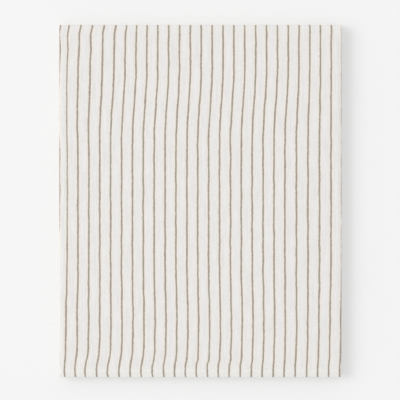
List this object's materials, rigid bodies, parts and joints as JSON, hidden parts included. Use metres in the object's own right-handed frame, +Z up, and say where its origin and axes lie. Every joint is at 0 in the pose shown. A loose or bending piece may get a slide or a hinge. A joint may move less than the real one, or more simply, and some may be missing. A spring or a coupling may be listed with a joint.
{
  "type": "baby wrap sling",
  "caption": "Long striped cloth baby wrap, turned in and fan-folded into a flat rectangular packet; its panels unfold.",
  "frame": {"origin": "middle of the packet's underside", "axes": "+X across the stripes, +Y along the stripes away from the hemmed edge on top, +Z up out of the packet"},
  "size_m": [0.28, 0.35, 0.0161],
  "materials": {
    "striped_cloth": "matt off-white slubby cotton gauze with thin tan woven stripes",
    "thread": "matt off-white sewing thread",
    "label_tape": "blank woven cotton tape"
  },
  "bodies": {
    "panel_1": {"panel_1_layer_a": "striped_cloth", "panel_1_layer_b": "striped_cloth", "panel_1_layer_c": "striped_cloth", "panel_1_layer_d": "striped_cloth", "fold_1_2": "striped_cloth", "strip_end_bend_inner": "striped_cloth", "strip_end_bend_outer": "striped_cloth"},
    "panel_2": {"panel_2_layer_a": "striped_cloth", "panel_2_layer_b": "striped_cloth", "panel_2_layer_c": "striped_cloth", "panel_2_layer_d": "striped_cloth", "fold_2_3": "striped_cloth"},
    "panel_3": {"panel_3_layer_a": "striped_cloth", "panel_3_layer_b": "striped_cloth", "panel_3_layer_c": "striped_cloth", "panel_3_layer_d": "striped_cloth", "fold_3_4": "striped_cloth"},
    "panel_4": {"panel_4_layer_a": "striped_cloth", "panel_4_layer_b": "striped_cloth", "panel_4_layer_c": "striped_cloth", "panel_4_layer_d": "striped_cloth", "middle_bend": "striped_cloth", "outer_end_hem": "striped_cloth", "inner_end_hem": "striped_cloth", "outer_hem_stitching": "thread", "inner_hem_stitching": "thread", "middle_marker": "label_tape", "middle_marker_stitching": "thread", "care_label": "label_tape", "care_label_stitching": "thread"}
  },
  "joints": [
    {"name": "unfold_1_2", "type": "hinge", "parent": "panel_1", "child": "panel_2", "pos_m": [0, 0.171, 0.00399], "axis": [-1, 0, 0], "range_deg": [0, 179.9], "deforming": ["fold_1_2"]},
    {"name": "unfold_2_3", "type": "hinge", "parent": "panel_2", "child": "panel_3", "pos_m": [0, -0.171, 0.00799], "axis": [1, 0, 0], "range_deg": [0, 179.9], "deforming": ["fold_2_3"]},
    {"name": "unfold_3_4", "type": "hinge", "parent": "panel_3", "child": "panel_4", "pos_m": [0, 0.171, 0.01199], "axis": [-1, 0, 0], "range_deg": [0, 179.9], "deforming": ["fold_3_4"]}
  ],
  "couplings": [
    {"joint": "unfold_2_3", "follows": "unfold_1_2", "ratio": 1},
    {"joint": "unfold_3_4", "follows": "unfold_1_2", "ratio": 1}
  ]
}
